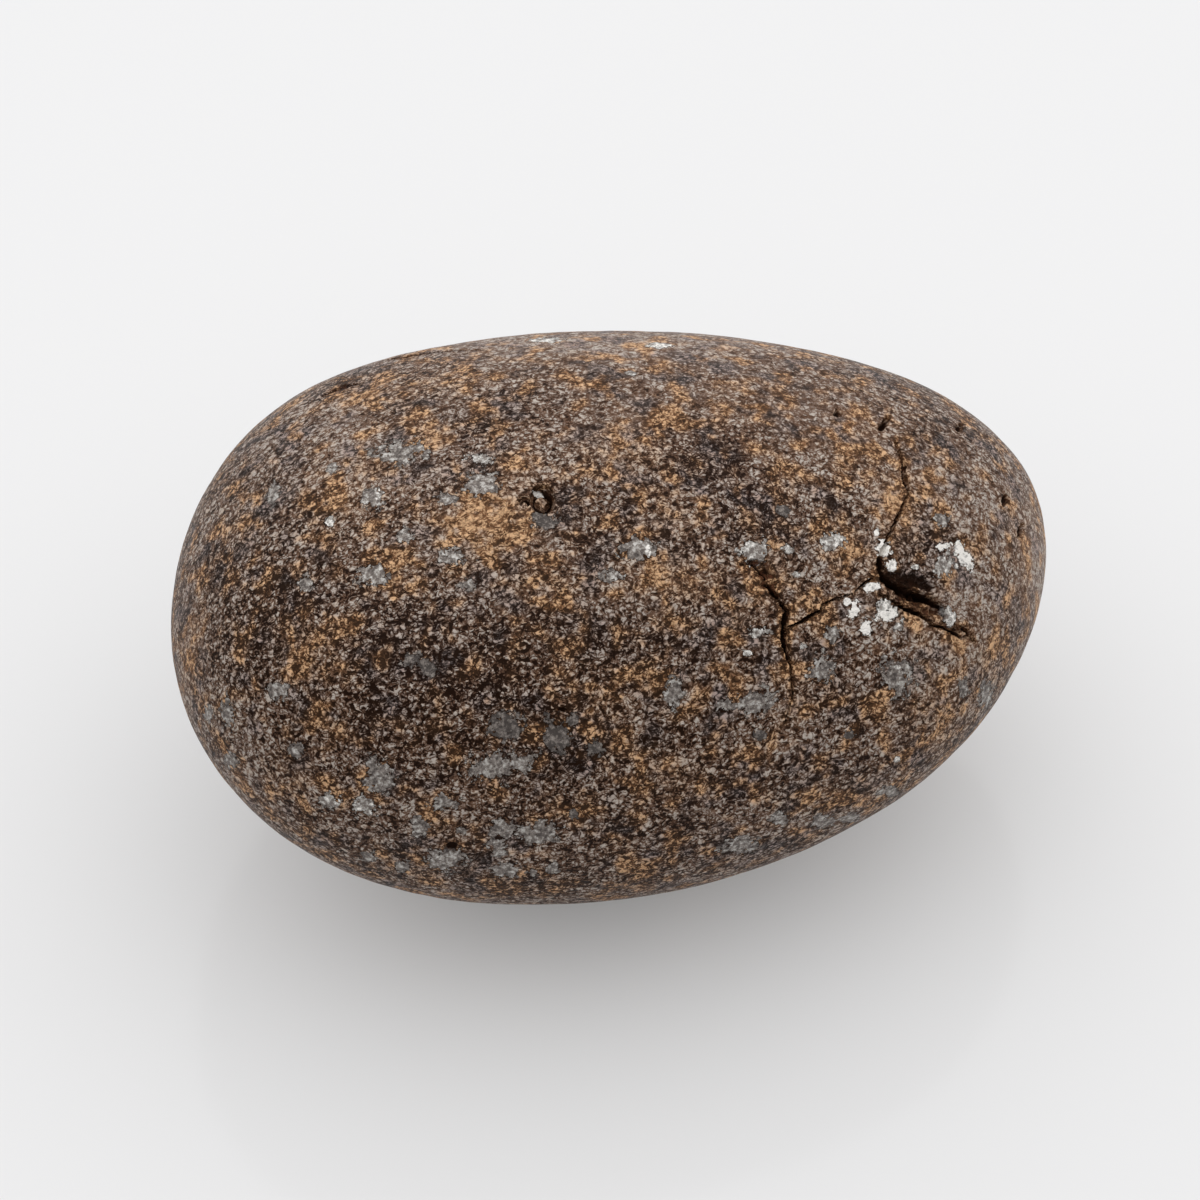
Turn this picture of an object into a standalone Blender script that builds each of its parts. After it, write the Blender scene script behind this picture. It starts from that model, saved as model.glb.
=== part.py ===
"""Stony meteorite: one river-worn, egg-shaped chondrite pebble about 45 mm long.

The stone is one solid. It is an ellipsoid with a few broad, soft lumps and hollows, a little
slimmer at its +X end, and it rests on a small true flat at Z = 0. A forked crack with an open
gash runs over its front near the +X end, and a round pit with a side pocket sits on top.
Origin: middle of the underside's box. +X along the length, -Y towards the cracked front, +Z up.
"""

import math

import bmesh
import bpy
from mathutils import Vector
from mathutils.bvhtree import BVHTree

MM = 0.001

# Body of the stone, in millimetres.
LENGTH = 45.0
SEMI_AXES = (22.9, 15.8, 13.45)
TAPER = 0.08
SPHERE_SUBDIVISIONS = 5
REST_CUT = 0.35
NODE_NAME = "meteorite_stone"

# Broad swells (+) and worn hollows (-): heading in degrees from +X seen from above, rise in
# degrees, height in mm and angular spread in degrees.
SWELLS = {
    "front_top_face": (-71, 63, -0.4, 39),
    "back_left_shoulder": (137, 15, 1.4, 20),
    "slim_end_hollow": (-16, -11, -1.45, 20),
    "front_left_hollow": (-138, 14, -1.0, 20),
    "blunt_end_low": (173, -15, -2.15, 20),
    "front_right_hollow": (-50, 20, -1.0, 20),
    "blunt_end": (-169, 16, 0.95, 19),
    "slim_end": (8, -6, 1.35, 20),
    "front_face": (-99, 21, -1.45, 27),
    "back_right_side": (39, 17, -0.75, 26),
    "slim_end_underside": (-3, -31, 0.2, 33),
    "front_left_underside": (-143, -33, -1.15, 36),
    "back_underside": (76, -47, 0.75, 34),
    "front_right_shoulder": (-37, 1, 1.85, 19),
}

# The cracks and pits are drawn on a sketch plane that faces the eye of someone looking down at the front.
SKETCH_TURN = -18.4
SKETCH_RISE = 46.0
SKETCH_MIDDLE = (0.15, 2.25, 11.0)
EYE_DISTANCE = 338.0

# Each crack is a run of stations: across, up and open width, in mm on the sketch plane.
LEFT_CRACK = (
    (7.1, 1.8, 0.15),
    (7.8, 1.9, 0.5),
    (8.35, 1.4, 0.8),
    (8.55, 0.6, 0.7),
    (9.05, -0.05, 0.35),
    (9.45, -0.6, 0.3),
    (9.4, -1.4, 0.35),
    (9.25, -2.1, 0.35),
    (9.35, -2.7, 0.2),
    (9.65, -3.4, 0.15),
    (9.7, -4.5, 0.15),
    (9.3, -6.3, 0.1),
)
BRIDGE_CRACK = (
    (9.55, -1.4, 0.2),
    (10.3, -0.95, 0.25),
    (11.0, -0.55, 0.25),
    (11.4, -0.15, 0.2),
    (12.55, 0.25, 0.2),
    (13.2, 0.65, 0.25),
    (14.0, 1.25, 0.2),
)
UPPER_CRACK = (
    (14.95, 8.0, 0.1),
    (15.35, 6.9, 0.2),
    (15.4, 6.2, 0.3),
    (15.55, 5.45, 0.2),
    (15.3, 4.7, 0.2),
    (15.0, 4.05, 0.2),
    (14.7, 3.4, 0.25),
    (14.3, 2.6, 0.3),
    (14.2, 1.9, 0.45),
    (14.2, 1.4, 0.4),
)
OPEN_GASH = (
    (14.15, 1.7, 0.4),
    (14.5, 1.05, 0.75),
    (15.1, 0.45, 1.0),
    (15.85, 0.0, 1.05),
    (16.7, -0.45, 0.95),
    (17.4, -1.0, 0.75),
    (18.2, -1.65, 0.55),
    (19.0, -2.3, 0.2),
)
CRACKS = {
    "left_crack": (LEFT_CRACK, 0.9),
    "bridge_crack": (BRIDGE_CRACK, 0.5),
    "upper_crack": (UPPER_CRACK, 0.6),
    "open_gash": (OPEN_GASH, 1.3),
}
CRACK_LIFT = 0.5
CRACK_FLOOR_SHARE = 0.3
CRACK_END_SHARE = 0.4

# Each pit: across, up, width, height and depth in mm, and its turn in degrees on the sketch plane.
PITS = {
    "round_pit": (-2.93, 5.1, 1.35, 1.45, 0.8, 0),
    "side_pocket": (-3.8, 5.0, 0.7, 0.55, 0.45, 0),
    "upper_slit": (14.37, 8.9, 0.35, 0.9, 0.5, 35),
    "upper_hole": (12.0, 9.45, 0.45, 0.4, 0.35, 0),
    "end_hollow": (20.5, 5.05, 0.4, 0.8, 0.35, 10),
    "end_slit": (21.3, 3.5, 0.3, 0.9, 0.35, 12),
}

STONE_COLOUR = (0.10, 0.065, 0.045, 1.0)
STONE_ROUGHNESS = 0.42


def direction_of(heading, rise):
    """Unit vector for a heading and a rise in degrees."""
    turn, lift = math.radians(heading), math.radians(rise)
    return Vector((math.cos(lift) * math.cos(turn), math.cos(lift) * math.sin(turn), math.sin(lift)))


SWELL_DIRECTIONS = {name: direction_of(values[0], values[1]) for name, values in SWELLS.items()}


def stone_point(direction):
    """Point of the stone's skin in a direction from the middle of its ellipsoid, in mm."""
    reach = 1 / math.sqrt(sum((d / a) ** 2 for d, a in zip(direction, SEMI_AXES)))
    for name, (_, _, height, spread) in SWELLS.items():
        closeness = direction.dot(SWELL_DIRECTIONS[name]) - 1
        reach += height * math.exp(closeness / math.radians(spread) ** 2)
    point = direction * reach
    slim = 1 - TAPER * point.x / (LENGTH / 2)
    return Vector((point.x, point.y * slim, point.z * slim))


def remove_default_objects():
    for thing in list(bpy.data.objects):
        bpy.data.objects.remove(thing, do_unlink=True)


def collection_named(name):
    collection = bpy.data.collections.new(name)
    bpy.context.scene.collection.children.link(collection)
    return collection


def object_from(mesh_data, name, collection):
    mesh = bpy.data.meshes.new(name)
    mesh_data.to_mesh(mesh)
    thing = bpy.data.objects.new(name, mesh)
    collection.objects.link(thing)
    return thing


def stone_shape():
    """The whole stone without its cracks, in metres, with the flat that it rests on at Z = 0."""
    shape = bmesh.new()
    bmesh.ops.create_icosphere(shape, subdivisions=SPHERE_SUBDIVISIONS, radius=1)
    for vertex in shape.verts:
        vertex.co = stone_point(vertex.co.normalized()) * MM
    low = Vector([min(v.co[i] for v in shape.verts) for i in range(3)])
    high = Vector([max(v.co[i] for v in shape.verts) for i in range(3)])
    middle = (low + high) / 2
    offset = Vector((-middle.x, -middle.y, -low.z - REST_CUT * MM))
    bmesh.ops.translate(shape, verts=shape.verts, vec=offset)
    cut = bmesh.ops.bisect_plane(
        shape,
        geom=shape.verts[:] + shape.edges[:] + shape.faces[:],
        dist=1e-7,
        plane_co=(0, 0, 0),
        plane_no=(0, 0, -1),
        clear_outer=True,
    )
    rim = [item for item in cut["geom_cut"] if isinstance(item, bmesh.types.BMEdge)]
    bmesh.ops.contextual_create(shape, geom=rim)
    bmesh.ops.recalc_face_normals(shape, faces=shape.faces)
    return shape


def sketch_axes():
    """Right, up and towards-the-eye directions of the sketch plane."""
    towards = direction_of(SKETCH_TURN - 90, SKETCH_RISE)
    right = direction_of(SKETCH_TURN, 0)
    return right, towards.cross(right), towards


def on_stone(tree, across, up):
    """Point and outward normal of the stone where the eye sees a sketch point, in metres."""
    right, upward, towards = sketch_axes()
    middle = Vector(SKETCH_MIDDLE) * MM
    eye = middle + towards * EYE_DISTANCE * MM
    aim = middle + (right * across + upward * up) * MM
    point, normal, _, _ = tree.ray_cast(eye, (aim - eye).normalized())
    return point, normal


def crack_cutter(name, stations, depth, tree, collection):
    """A lofted wedge that follows a crack: wide at its mouth, narrow at its floor."""
    places = [on_stone(tree, across, up) for across, up, _ in stations]
    shape = bmesh.new()
    rings = []
    last = len(stations) - 1
    for i, (_, _, width) in enumerate(stations):
        point, normal = places[i]
        along = (places[min(i + 1, last)][0] - places[max(i - 1, 0)][0]).normalized()
        side = normal.cross(along).normalized()
        end_share = CRACK_END_SHARE if i in (0, last) else 1.0
        deep = depth * end_share * MM
        mouth = width / 2 * MM * (depth * end_share + CRACK_LIFT) / (depth * end_share)
        floor = width / 2 * MM * CRACK_FLOOR_SHARE
        top = point + normal * CRACK_LIFT * MM
        bottom = point - normal * deep
        corners = (top - side * mouth, top + side * mouth, bottom + side * floor, bottom - side * floor)
        rings.append([shape.verts.new(corner) for corner in corners])
    for ring, following in zip(rings, rings[1:]):
        for k in range(4):
            shape.faces.new((ring[k], ring[(k + 1) % 4], following[(k + 1) % 4], following[k]))
    shape.faces.new(rings[0])
    shape.faces.new(rings[-1])
    bmesh.ops.triangulate(shape, faces=shape.faces)
    bmesh.ops.recalc_face_normals(shape, faces=shape.faces)
    return as_cutter(shape, name, collection)


def pit_cutter(name, values, tree, collection):
    """An ellipsoid sunk to its depth in the stone's surface."""
    across, up, width, height, depth, turn = values
    point, normal = on_stone(tree, across, up)
    right, upward, _ = sketch_axes()
    side = (right * math.cos(math.radians(turn)) - upward * math.sin(math.radians(turn))).normalized()
    side = (side - normal * side.dot(normal)).normalized()
    other = normal.cross(side)
    shape = bmesh.new()
    bmesh.ops.create_icosphere(shape, subdivisions=3, radius=1)
    for vertex in shape.verts:
        x, y, z = vertex.co
        vertex.co = point + (side * x * width / 2 + other * y * height / 2 + normal * z * depth) * MM
    bmesh.ops.recalc_face_normals(shape, faces=shape.faces)
    return as_cutter(shape, name, collection)


def as_cutter(shape, name, collection):
    cutter = object_from(shape, name, collection)
    shape.free()
    cutter.hide_render = True
    cutter.display_type = "WIRE"
    return cutter


def cut(stone, cutter):
    modifier = stone.modifiers.new(cutter.name, "BOOLEAN")
    modifier.operation = "DIFFERENCE"
    modifier.solver = "EXACT"
    modifier.object = cutter


def stone_material():
    material = bpy.data.materials.new("worn_chondrite")
    material.use_nodes = True
    shader = material.node_tree.nodes["Principled BSDF"]
    shader.inputs["Base Color"].default_value = STONE_COLOUR
    shader.inputs["Roughness"].default_value = STONE_ROUGHNESS
    shader.inputs["Metallic"].default_value = 0.0
    return material


def main():
    remove_default_objects()
    parts = collection_named("meteorite")
    cutters = collection_named("cutters")
    shape = stone_shape()
    tree = BVHTree.FromBMesh(shape)
    stone = object_from(shape, NODE_NAME, parts)
    shape.free()
    stone.data.shade_smooth()
    stone.data.set_sharp_from_angle(angle=math.radians(40))
    stone.data.materials.append(stone_material())
    for name, (stations, depth) in CRACKS.items():
        cut(stone, crack_cutter(name, stations, depth, tree, cutters))
    for name, values in PITS.items():
        cut(stone, pit_cutter(name, values, tree, cutters))


main()
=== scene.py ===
"""River-worn stony meteorite on a pale, slightly glossy table.

The stone is one closed skin in metres, with its flat rest at Z = 0 and its cracked, slim end at +X.
Its cracks, pits, metal flecks and colour patches are placed on a sketch plane that faces the camera.
"""

import math
import random

import bpy
import numpy as np
from bpy.props import FloatProperty, FloatVectorProperty, IntProperty, PointerProperty
from bpy.types import Operator, Panel, PropertyGroup
from mathutils import Matrix, Vector, noise


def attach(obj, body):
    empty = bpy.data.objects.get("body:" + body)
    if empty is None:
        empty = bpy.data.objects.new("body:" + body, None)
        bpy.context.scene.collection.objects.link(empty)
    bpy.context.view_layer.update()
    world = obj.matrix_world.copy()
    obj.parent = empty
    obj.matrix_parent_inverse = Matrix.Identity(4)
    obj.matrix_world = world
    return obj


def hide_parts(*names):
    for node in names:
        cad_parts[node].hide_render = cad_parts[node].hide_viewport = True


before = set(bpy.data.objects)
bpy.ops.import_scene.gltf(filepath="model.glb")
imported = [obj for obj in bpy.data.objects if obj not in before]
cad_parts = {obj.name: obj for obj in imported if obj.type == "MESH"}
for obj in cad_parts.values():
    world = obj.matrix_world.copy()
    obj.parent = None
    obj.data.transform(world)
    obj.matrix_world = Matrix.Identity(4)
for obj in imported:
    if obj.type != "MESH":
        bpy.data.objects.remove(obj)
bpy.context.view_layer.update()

bl_info = {
    "name": "Worn Meteorite",
    "version": (1, 0, 0),
    "blender": (4, 5, 0),
    "location": "View3D > Sidebar > Meteorite",
    "description": "Builds a river-worn stony meteorite and a plain stage for it",
    "category": "Add Mesh",
}

CAD_NODE = "meteorite_stone"
MM = 0.001

# Broad swells (+) and worn hollows (-): heading and rise in degrees, height in mm, spread in degrees.
SWELLS = {
    "front_top_face": (-71, 63, -0.4, 39),
    "back_left_shoulder": (137, 15, 1.4, 20),
    "slim_end_hollow": (-16, -11, -1.45, 20),
    "front_left_hollow": (-138, 14, -1.0, 20),
    "blunt_end_low": (173, -15, -2.15, 20),
    "front_right_hollow": (-50, 20, -1.0, 20),
    "blunt_end": (-169, 16, 0.95, 19),
    "slim_end": (8, -6, 1.35, 20),
    "front_face": (-99, 21, -1.45, 27),
    "back_right_side": (39, 17, -0.75, 26),
    "slim_end_underside": (-3, -31, 0.2, 33),
    "front_left_underside": (-143, -33, -1.15, 36),
    "back_underside": (76, -47, 0.75, 34),
    "front_right_shoulder": (-37, 1, 1.85, 19),
}

# The camera looks along the sketch plane's normal. The photograph is 1200 pixels square.
SKETCH_TURN = -18.4
SKETCH_RISE = 46.0
SKETCH_MIDDLE = (0.15, 2.25, 11.0)
PHOTO_MIDDLE_PX = 600
PX_PER_MM = 19.79

# Stations along each crack: across, up and open width, in mm on the sketch plane.
LEFT_POCKET = (
    (7.7, 1.9, 0.35),
    (8.3, 1.6, 0.8),
    (8.5, 0.9, 0.85),
    (8.75, 0.4, 0.45),
)
LEFT_CRACK = (
    (7.1, 1.8, 0.05),
    (7.8, 1.8, 0.1),
    (8.4, 1.2, 0.14),
    (8.7, 0.55, 0.22),
    (9.05, 0.0, 0.28),
    (9.5, -0.55, 0.24),
    (9.4, -0.85, 0.36),
    (9.3, -2.0, 0.4),
    (9.45, -2.75, 0.24),
    (9.65, -3.45, 0.1),
    (9.75, -4.8, 0.08),
    (9.35, -6.2, 0.05),
)
BRIDGE_CRACK = (
    (9.55, -1.35, 0.1),
    (9.9, -1.25, 0.16),
    (10.35, -1.0, 0.22),
    (10.75, -0.75, 0.22),
    (11.15, -0.55, 0.14),
    (11.25, -0.25, 0.06),
    (11.75, 0.0, 0.08),
    (12.35, 0.2, 0.07),
    (12.75, 0.3, 0.05),
    (13.1, 0.6, 0.1),
    (13.45, 0.85, 0.24),
    (13.8, 1.1, 0.1),
)
UPPER_CRACK = (
    (14.95, 8.0, 0.1),
    (15.35, 6.9, 0.2),
    (15.4, 6.2, 0.26),
    (15.6, 5.45, 0.15),
    (15.3, 4.7, 0.15),
    (15.0, 4.05, 0.18),
    (14.7, 3.4, 0.18),
    (14.35, 2.65, 0.2),
    (14.2, 2.1, 0.38),
    (14.25, 1.5, 0.46),
    (14.3, 1.0, 0.3),
)
GASH_BED = (
    (14.45, 1.15, 0.5),
    (14.9, 0.6, 0.85),
    (15.55, 0.15, 1.0),
    (16.4, -0.3, 0.9),
    (17.2, -0.85, 0.7),
    (17.95, -1.4, 0.5),
    (18.6, -1.9, 0.3),
)
GASH_UPPER_SLIT = (
    (14.35, 1.1, 0.3),
    (14.85, 0.7, 0.4),
    (15.25, 0.5, 0.55),
    (15.75, 0.25, 0.7),
    (16.2, 0.15, 0.6),
    (16.9, -0.1, 0.5),
    (17.45, -0.5, 0.35),
    (17.65, -1.0, 0.15),
    (17.8, -1.3, 0.1),
)
GASH_LOWER_SLIT = (
    (14.15, 0.3, 0.1),
    (14.6, 0.1, 0.15),
    (15.3, -0.3, 0.26),
    (15.8, -0.55, 0.34),
    (16.45, -0.85, 0.26),
    (16.9, -1.3, 0.2),
    (17.45, -1.4, 0.2),
    (18.05, -1.75, 0.22),
    (18.4, -2.0, 0.1),
)
GASH_TAIL = (
    (18.3, -1.3, 0.1),
    (18.65, -1.65, 0.2),
    (18.9, -2.1, 0.1),
)
LEDGE_LINE = (
    (-10.75, 12.1, 0.04),
    (-9.6, 12.3, 0.1),
    (-8.6, 12.48, 0.06),
    (-7.2, 12.6, 0.1),
    (-5.75, 12.68, 0.03),
)
SHOULDER_NOTCH = (
    (-14.2, 10.2, 0.05),
    (-13.5, 10.55, 0.16),
    (-12.9, 10.8, 0.2),
    (-12.3, 10.92, 0.08),
)
GASH_LEDGE = (
    (14.65, 1.25, 0.6),
    (15.4, 0.9, 0.9),
    (16.15, 0.9, 0.8),
    (16.7, 0.6, 0.5),
)
# Crack name: its stations, depth in mm, how dark it is inside (painted shade), how much rust lines it.
CRACKS = {
    "left_pocket": (LEFT_POCKET, 0.45, 0.8, 1.0),
    "left_crack": (LEFT_CRACK, 0.7, 1.0, 0.7),
    "bridge_crack": (BRIDGE_CRACK, 0.5, 1.0, 0.6),
    "upper_crack": (UPPER_CRACK, 0.6, 1.0, 0.8),
    "gash_bed": (GASH_BED, 0.35, 0.75, 0.5),
    "gash_upper_slit": (GASH_UPPER_SLIT, 0.9, 1.0, 0.0),
    "gash_lower_slit": (GASH_LOWER_SLIT, 0.8, 1.0, 0.5),
    "gash_tail": (GASH_TAIL, 0.6, 1.0, 0.9),
    "gash_ledge": (GASH_LEDGE, 0.3, 0.9, 0.0),
    "ledge_line": (LEDGE_LINE, 0.12, 0.7, 0.0),
    "shoulder_notch": (SHOULDER_NOTCH, 0.15, 0.8, 0.1),
}

# Each pit: across, up, width, height and depth in mm, and its turn in degrees on the sketch plane.
PITS = {
    "round_pit": (-2.93, 5.1, 1.35, 1.45, 0.8, 0),
    "side_pocket": (-3.8, 5.0, 0.7, 0.55, 0.45, 0),
    "upper_slit": (14.37, 8.9, 0.35, 0.9, 0.5, 35),
    "upper_hole": (12.0, 9.45, 0.45, 0.4, 0.35, 0),
    "end_hollow": (20.5, 5.05, 0.4, 0.8, 0.35, 10),
    "end_slit": (21.3, 3.5, 0.3, 0.9, 0.35, 12),
    "back_hole": (18.15, 8.7, 0.35, 0.5, 0.3, 40),
    "low_hollow": (-7.5, -12.5, 0.8, 0.5, 0.25, 0),
    "middle_slit": (-1.9, -5.55, 0.6, 0.25, 0.2, 0),
}
PIT_BEAD = (-2.98, 5.1, 0.38, 0.55)

# Broken pieces in the gash and the pocket: middle x and y, width and height in pixels, sunk depth in mm.
CHUNKS = (
    (892, 594, 13, 15, 0.12), (908, 603, 14, 6, 0.3), (926, 606, 10, 7, 0.15), (938, 620, 18, 13, 0.1),
    (952, 620, 10, 17, 0.02), (965, 634, 8, 7, 0.15), (524, 503, 7, 7, 0.15), (762, 566, 9, 8, 0.2),
    (771, 581, 9, 7, 0.25), (767, 590, 7, 8, 0.2), (780, 602, 6, 7, 0.3), (757, 573, 6, 6, 0.1),
)

# Metal flecks, as read from the photograph: middle x and y, width and height in pixels.
GREY_FLECKS = (
    (402, 453, 45, 20), (481, 482, 35, 20), (333, 469, 10, 10), (373, 498, 20, 18), (405, 536, 16, 14),
    (447, 498, 16, 14), (453, 555, 30, 15), (373, 574, 30, 20), (306, 582, 20, 14), (466, 585, 15, 12),
    (274, 494, 16, 20), (635, 548, 35, 20), (611, 576, 25, 12), (276, 690, 20, 18), (228, 711, 14, 25),
    (207, 714, 10, 15), (231, 760, 15, 14), (295, 748, 14, 12), (379, 776, 28, 34), (492, 768, 40, 28),
    (521, 763, 26, 18), (443, 803, 26, 14), (421, 827, 16, 18), (462, 831, 12, 8), (502, 829, 24, 20),
    (497, 845, 24, 16), (529, 834, 22, 20), (546, 831, 28, 19), (446, 860, 36, 22), (740, 845, 36, 17),
    (943, 520, 15, 13), (505, 870, 26, 14), (552, 868, 14, 12), (534, 872, 12, 8), (405, 867, 14, 10),
    (367, 856, 14, 10), (673, 693, 18, 28), (756, 702, 35, 22), (728, 705, 20, 12), (823, 667, 22, 28),
    (897, 676, 32, 34), (831, 635, 15, 16), (986, 694, 15, 25), (965, 686, 10, 14), (823, 821, 22, 14),
    (779, 819, 20, 14), (849, 818, 20, 10), (887, 792, 25, 9),
)
DULL_FLECKS = (
    (507, 727, 32, 28), (557, 736, 28, 32), (571, 722, 14, 12), (595, 747, 16, 14), (415, 658, 20, 14),
    (428, 669, 15, 12), (759, 735, 12, 10), (849, 735, 12, 10), (782, 512, 12, 12), (545, 520, 26, 14),
    (573, 815, 9, 9),
)
PALE_FLECKS = (
    (330, 523, 9, 10), (377, 497, 10, 12), (648, 550, 6, 16), (915, 568, 7, 5), (947, 612, 9, 10),
    (951, 620, 9, 13), (545, 340, 30, 5), (660, 346, 22, 5), (885, 605, 14, 12), (897, 759, 6, 6),
    (748, 652, 10, 7), (805, 645, 8, 5), (834, 632, 5, 10),
)
LIGHT_FLECKS = (
    (753, 552, 26, 21), (328, 802, 22, 14), (365, 805, 25, 18), (434, 857, 14, 10), (630, 374, 10, 4),
    (833, 542, 26, 14), (898, 626, 13, 8), (944, 566, 18, 20), (900, 668, 22, 9), (789, 549, 12, 8),
    (760, 632, 20, 9), (797, 574, 8, 5), (402, 453, 30, 12), (481, 460, 24, 11),
)
# Polished flecks whose glint is painted in as near-white colour.
PAINTED_GLINT_FLECKS = (
    (882, 547, 15, 15), (876, 534, 6, 6), (890, 565, 11, 10), (873, 587, 13, 13), (847, 602, 8, 8),
    (853, 610, 11, 17), (888, 616, 23, 14), (866, 630, 11, 16), (939, 548, 8, 6), (948, 547, 8, 6),
    (960, 549, 11, 14), (964, 560, 12, 14), (968, 567, 10, 10), (537, 490, 11, 4),
)
# Fleck group: its list, and how bright the metal is.
FLECK_GROUPS = (
    (DULL_FLECKS, 0.12), (GREY_FLECKS, 0.4), (LIGHT_FLECKS, 0.58), (PALE_FLECKS, 0.8), (PAINTED_GLINT_FLECKS, 1.12),
)

# Colour patches in pixels: middle x and y, width and height, strength.
RUST_PATCHES = (
    (488, 523, 75, 62, 1.4), (515, 470, 34, 26, 0.9), (395, 572, 50, 36, 0.7), (370, 395, 90, 26, 0.6),
    (445, 384, 70, 22, 0.6), (550, 588, 60, 40, 0.6), (672, 580, 100, 34, 0.75), (665, 520, 50, 34, 0.5),
    (630, 448, 80, 44, 0.55), (895, 505, 34, 56, 1.2), (860, 555, 34, 26, 0.6), (925, 474, 12, 10, 1.0),
    (315, 645, 60, 36, 0.45), (190, 655, 20, 60, 0.6), (990, 665, 30, 60, 0.5), (940, 715, 60, 60, 0.5),
    (840, 795, 90, 26, 0.5), (600, 715, 60, 50, 0.5), (670, 775, 70, 40, 0.5), (285, 780, 40, 40, 0.4),
    (530, 729, 20, 20, 0.7), (614, 740, 16, 20, 0.6), (242, 528, 20, 30, 0.5), (736, 621, 26, 22, 0.9),
    (765, 576, 30, 46, 1.3), (795, 690, 26, 70, 0.5), (756, 415, 26, 14, 0.6), (960, 640, 20, 16, 0.9),
    (1020, 540, 20, 60, 0.35), (340, 500, 80, 60, 0.3), (735, 400, 60, 20, 0.35), (860, 440, 60, 30, 0.35),
)
SLATE_PATCHES = (
    (480, 470, 34, 26, 0.8), (410, 460, 60, 36, 0.5), (560, 520, 40, 34, 0.6), (470, 425, 44, 20, 0.7),
    (275, 495, 30, 36, 0.5), (230, 575, 34, 44, 0.5), (310, 595, 34, 26, 0.6), (910, 590, 40, 26, 0.7),
    (925, 541, 50, 24, 0.9), (385, 715, 50, 34, 0.5), (490, 700, 50, 30, 0.6), (560, 745, 60, 50, 0.6),
    (740, 850, 70, 30, 0.5), (445, 860, 50, 30, 0.4), (835, 695, 46, 40, 0.6), (665, 430, 50, 26, 0.5),
    (705, 465, 50, 34, 0.6), (750, 500, 50, 34, 0.6), (780, 525, 40, 20, 0.5), (680, 555, 44, 20, 0.6),
    (345, 380, 30, 16, 0.5), (250, 640, 60, 30, 0.5), (400, 640, 90, 50, 0.4), (700, 640, 60, 60, 0.4),
    (600, 640, 80, 50, 0.4),
)

# Lighter (-) and darker (+) stretches of the skin: middle x and y, width and height in pixels, strength.
# Some are the stone's own tone; others are painted light: a painted sheen along the top edge, painted rim
# highlights at the slim end and the left edge, a painted highlight on the upper left that faces the light,
# and painted shade on the lower front, along the bottom edge and in the gash's sunken ledge.
TONE_AND_PAINTED_LIGHT_PATCHES = (
    (440, 700, 260, 170, 0.10), (270, 590, 130, 110, 0.10), (600, 650, 220, 90, 0.07),
    (720, 460, 120, 70, 0.06), (780, 530, 80, 40, 0.08), (905, 583, 56, 34, 0.20),
    (620, 820, 200, 80, 0.06), (700, 760, 160, 80, 0.05), (560, 740, 70, 60, 0.06),
    (480, 430, 40, 24, 0.14), (340, 440, 120, 60, -0.03), (960, 600, 120, 140, -0.13),
    (1000, 480, 60, 120, -0.1), (1040, 560, 30, 120, -0.255), (600, 345, 300, 30, -0.22),
    (345, 384, 26, 8, 0.25), (322, 397, 24, 9, 0.25), (488, 523, 70, 60, -0.08),
    (610, 445, 90, 60, -0.05), (370, 440, 160, 80, -0.075), (925, 541, 46, 20, 0.08),
    (460, 720, 180, 90, 0.02), (270, 590, 110, 110, 0.01), (195, 640, 30, 160, -0.045),
    (830, 410, 120, 70, -0.06), (620, 640, 120, 80, -0.04), (570, 885, 160, 26, 0.1),
    (300, 830, 120, 40, 0.03), (800, 800, 120, 40, 0.03), (890, 500, 60, 70, -0.06),
    (640, 580, 120, 30, -0.05), (240, 760, 60, 100, -0.03),
)

# Painted sheen: stretches where the grain is flattened towards a middle tone, on the upper surface, the top
# edge and the rims: middle x and y, width and height in pixels, strength.
PAINTED_SHEEN_PATCHES = (
    (650, 350, 420, 60, 0.22), (640, 400, 260, 90, 0.24), (830, 420, 180, 100, 0.30),
    (1030, 560, 50, 180, 0.35), (960, 470, 90, 90, 0.2), (380, 430, 180, 100, 0.08),
    (190, 640, 40, 200, 0.2),
)

# Far-side flecks and patches, scattered by a seeded draw. Sizes are in mm.
FAR_FLECKS = 90
FAR_FLECK_SIZES = (0.5, 2.0)
FAR_FLECK_BRIGHTNESS = (0.12, 0.4, 0.4, 0.4, 0.75)
FAR_PATCHES = 34
FAR_PATCH_SIZES = (1.5, 5.0)
FAR_PATCH_STRENGTH = (0.3, 0.8)
FAR_SLIMMEST = 0.5
SEED = 41

# How far from a crack and from a fleck the skin gets a finer mesh at each refinement, in mm.
REFINE_MARGINS = ((1.6, 0.35), (0.5, -0.1))

# How far around a mark the skin may sink, and the distance that stands for no mark at all, in mm.
MARK_REACH = 2.2
FAR_AWAY = 1e3

# How widely a soft spot fades and where it ends, as shares of its radius.
SPOT_SPREAD = 1.1
SPOT_REACH = 6

# Waves on the skin: length in metres and seed. They start at a little height above the flat.
RIPPLE_WAVE = (0.0042, 1)
GRIT_WAVE = (0.0011, 2)
RELIEF_START = 1.5 * MM

# Waves in the edges and floors of the cracks: length in metres, seed and share.
RAGGED_WAVES = ((0.0004, 3, 0.11), (0.00017, 9, 0.07))
CRUMB_WAVES = ((0.0003, 5, 0.55), (0.00014, 6, 0.35))

# Form of a crack: edges, floor, painted shade inside and the rust that lines it.
EDGE_RAGGEDNESS = 2.0
EDGE_JITTER = 0.25
LEAST_EDGE = 0.02
FLOOR_BLUNTNESS = 0.6
FLOOR_ROUGHNESS = 1.4
FLOOR_RANGE = (0.25, 1.15)
CRACK_DARKENING = 4.0
LINING_WIDTH = 0.12
LINING_SHARE = 0.5
LINING_FALL = 1.5

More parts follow.
